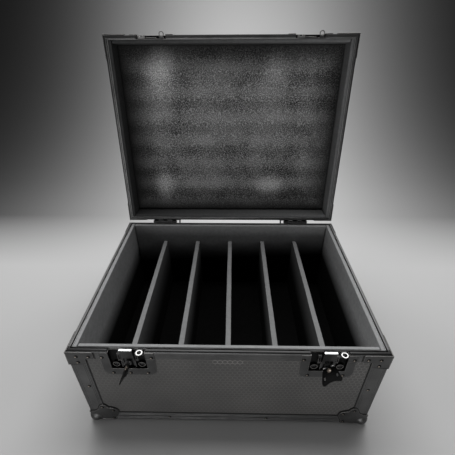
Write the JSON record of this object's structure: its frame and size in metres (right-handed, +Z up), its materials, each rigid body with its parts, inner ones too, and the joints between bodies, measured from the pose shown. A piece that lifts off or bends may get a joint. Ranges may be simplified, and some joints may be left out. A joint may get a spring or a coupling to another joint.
{
  "type": "lighting flight case",
  "caption": "Rectangular flight case with edged laminate walls, ball corners, a foam-lined hollow split by upright dividers, a hinged lid, twist latches and side handles.",
  "frame": {"origin": "middle of the base's plan, level with the underside of the base's bottom rail", "axes": "+X along the front from left to right, +Y from the front to the hinges, +Z up"},
  "size_m": [0.656, 0.689, 0.7652],
  "materials": {
    "laminate": "black laminate, fine satin grain",
    "black_aluminium": "black anodised, satin",
    "black_steel": "black, satin",
    "chrome": "bright plate",
    "pin_steel": "plain steel",
    "foam_grey": "closed-cell foam, matte grey",
    "foam_dark": "soft foam, matte dark grey"
  },
  "bodies": {
    "base": {"floor_panel": "laminate", "front_panel": "laminate", "rear_panel": "laminate", "left_panel": "laminate", "right_panel": "laminate", "base_bottom_rail": "black_aluminium", "front_left_edge": "black_aluminium", "front_right_edge": "black_aluminium", "rear_left_edge": "black_aluminium", "rear_right_edge": "black_aluminium", "base_rim": "black_aluminium", "base_front_left_ball_corner": "black_steel", "base_front_left_brace": "black_steel", "base_front_right_ball_corner": "black_steel", "base_front_right_brace": "black_steel", "base_rear_left_ball_corner": "black_steel", "base_rear_left_brace": "black_steel", "base_rear_right_ball_corner": "black_steel", "base_rear_right_brace": "black_steel", "base_wall_foam": "foam_grey", "base_floor_foam": "foam_dark", "divider_1": "foam_grey", "divider_2": "foam_grey", "divider_3": "foam_grey", "divider_4": "foam_grey", "divider_5": "foam_grey", "left_latch_base_dish": "black_steel", "left_hinge_base_leaf": "black_steel", "left_hinge_pin": "pin_steel", "left_handle_dish": "black_steel", "right_latch_base_dish": "black_steel", "right_hinge_base_leaf": "black_steel", "right_hinge_pin": "pin_steel", "right_handle_dish": "black_steel"},
    "lid": {"lid_panel": "laminate", "lid_walls": "laminate", "lid_top_rail": "black_aluminium", "lid_rim": "black_aluminium", "lid_front_left_ball_corner": "black_steel", "lid_front_left_brace": "black_steel", "lid_front_right_ball_corner": "black_steel", "lid_front_right_brace": "black_steel", "lid_rear_left_ball_corner": "black_steel", "lid_rear_left_brace": "black_steel", "lid_rear_right_ball_corner": "black_steel", "lid_rear_right_brace": "black_steel", "lid_wall_foam": "foam_grey", "lid_foam_pad": "foam_dark", "left_latch_lid_dish": "black_steel", "left_hinge_lid_leaf": "black_steel", "right_latch_lid_dish": "black_steel", "right_hinge_lid_leaf": "black_steel"},
    "left_spindle": {"left_latch_spindle": "black_steel"},
    "left_wing": {"left_latch_wing": "black_steel"},
    "left_hook": {"left_latch_hook": "chrome"},
    "left_bail": {"left_handle_bail": "black_steel"},
    "right_spindle": {"right_latch_spindle": "black_steel"},
    "right_wing": {"right_latch_wing": "black_steel"},
    "right_hook": {"right_latch_hook": "chrome"},
    "right_bail": {"right_handle_bail": "black_steel"}
  },
  "joints": [
    {"name": "lid_hinge", "type": "hinge", "parent": "base", "child": "lid", "pos_m": [0, 0.255, 0.248], "axis": [1, 0, 0], "range_deg": [0, 97]},
    {"name": "left_latch_turn", "type": "hinge", "parent": "base", "child": "left_spindle", "pos_m": [-0.2, -0.25, 0.214], "axis": [0, 1, 0], "range_deg": [-122, 58]},
    {"name": "left_wing_fold", "type": "hinge", "parent": "left_spindle", "child": "left_wing", "pos_m": [-0.2, -0.254, 0.214], "axis": [0.5299, 0, 0.848], "range_deg": [0, 90]},
    {"name": "left_hook_tilt", "type": "hinge", "parent": "base", "child": "left_hook", "pos_m": [-0.2, -0.246, 0.202], "axis": [1, 0, 0], "range_deg": [-6.1, 2.9]},
    {"name": "left_bail_lift", "type": "hinge", "parent": "base", "child": "left_bail", "pos_m": [-0.3166, 0, 0.158], "axis": [0, 1, 0], "range_deg": [0, 90], "stiffness_Nm_per_rad": 0.1},
    {"name": "right_latch_turn", "type": "hinge", "parent": "base", "child": "right_spindle", "pos_m": [0.2, -0.25, 0.214], "axis": [0, 1, 0], "range_deg": [-145, 35]},
    {"name": "right_wing_fold", "type": "hinge", "parent": "right_spindle", "child": "right_wing", "pos_m": [0.2, -0.254, 0.214], "axis": [0.8192, 0, 0.5736], "range_deg": [0, 90]},
    {"name": "right_hook_tilt", "type": "hinge", "parent": "base", "child": "right_hook", "pos_m": [0.2, -0.246, 0.202], "axis": [1, 0, 0], "range_deg": [-7.25, 1.75]},
    {"name": "right_bail_lift", "type": "hinge", "parent": "base", "child": "right_bail", "pos_m": [0.3166, 0, 0.158], "axis": [0, -1, 0], "range_deg": [0, 90], "stiffness_Nm_per_rad": 0.1}
  ],
  "couplings": [
    {"joint": "left_hook_tilt", "follows": "left_latch_turn", "ratio": 0.05},
    {"joint": "right_hook_tilt", "follows": "right_latch_turn", "ratio": 0.05}
  ]
}
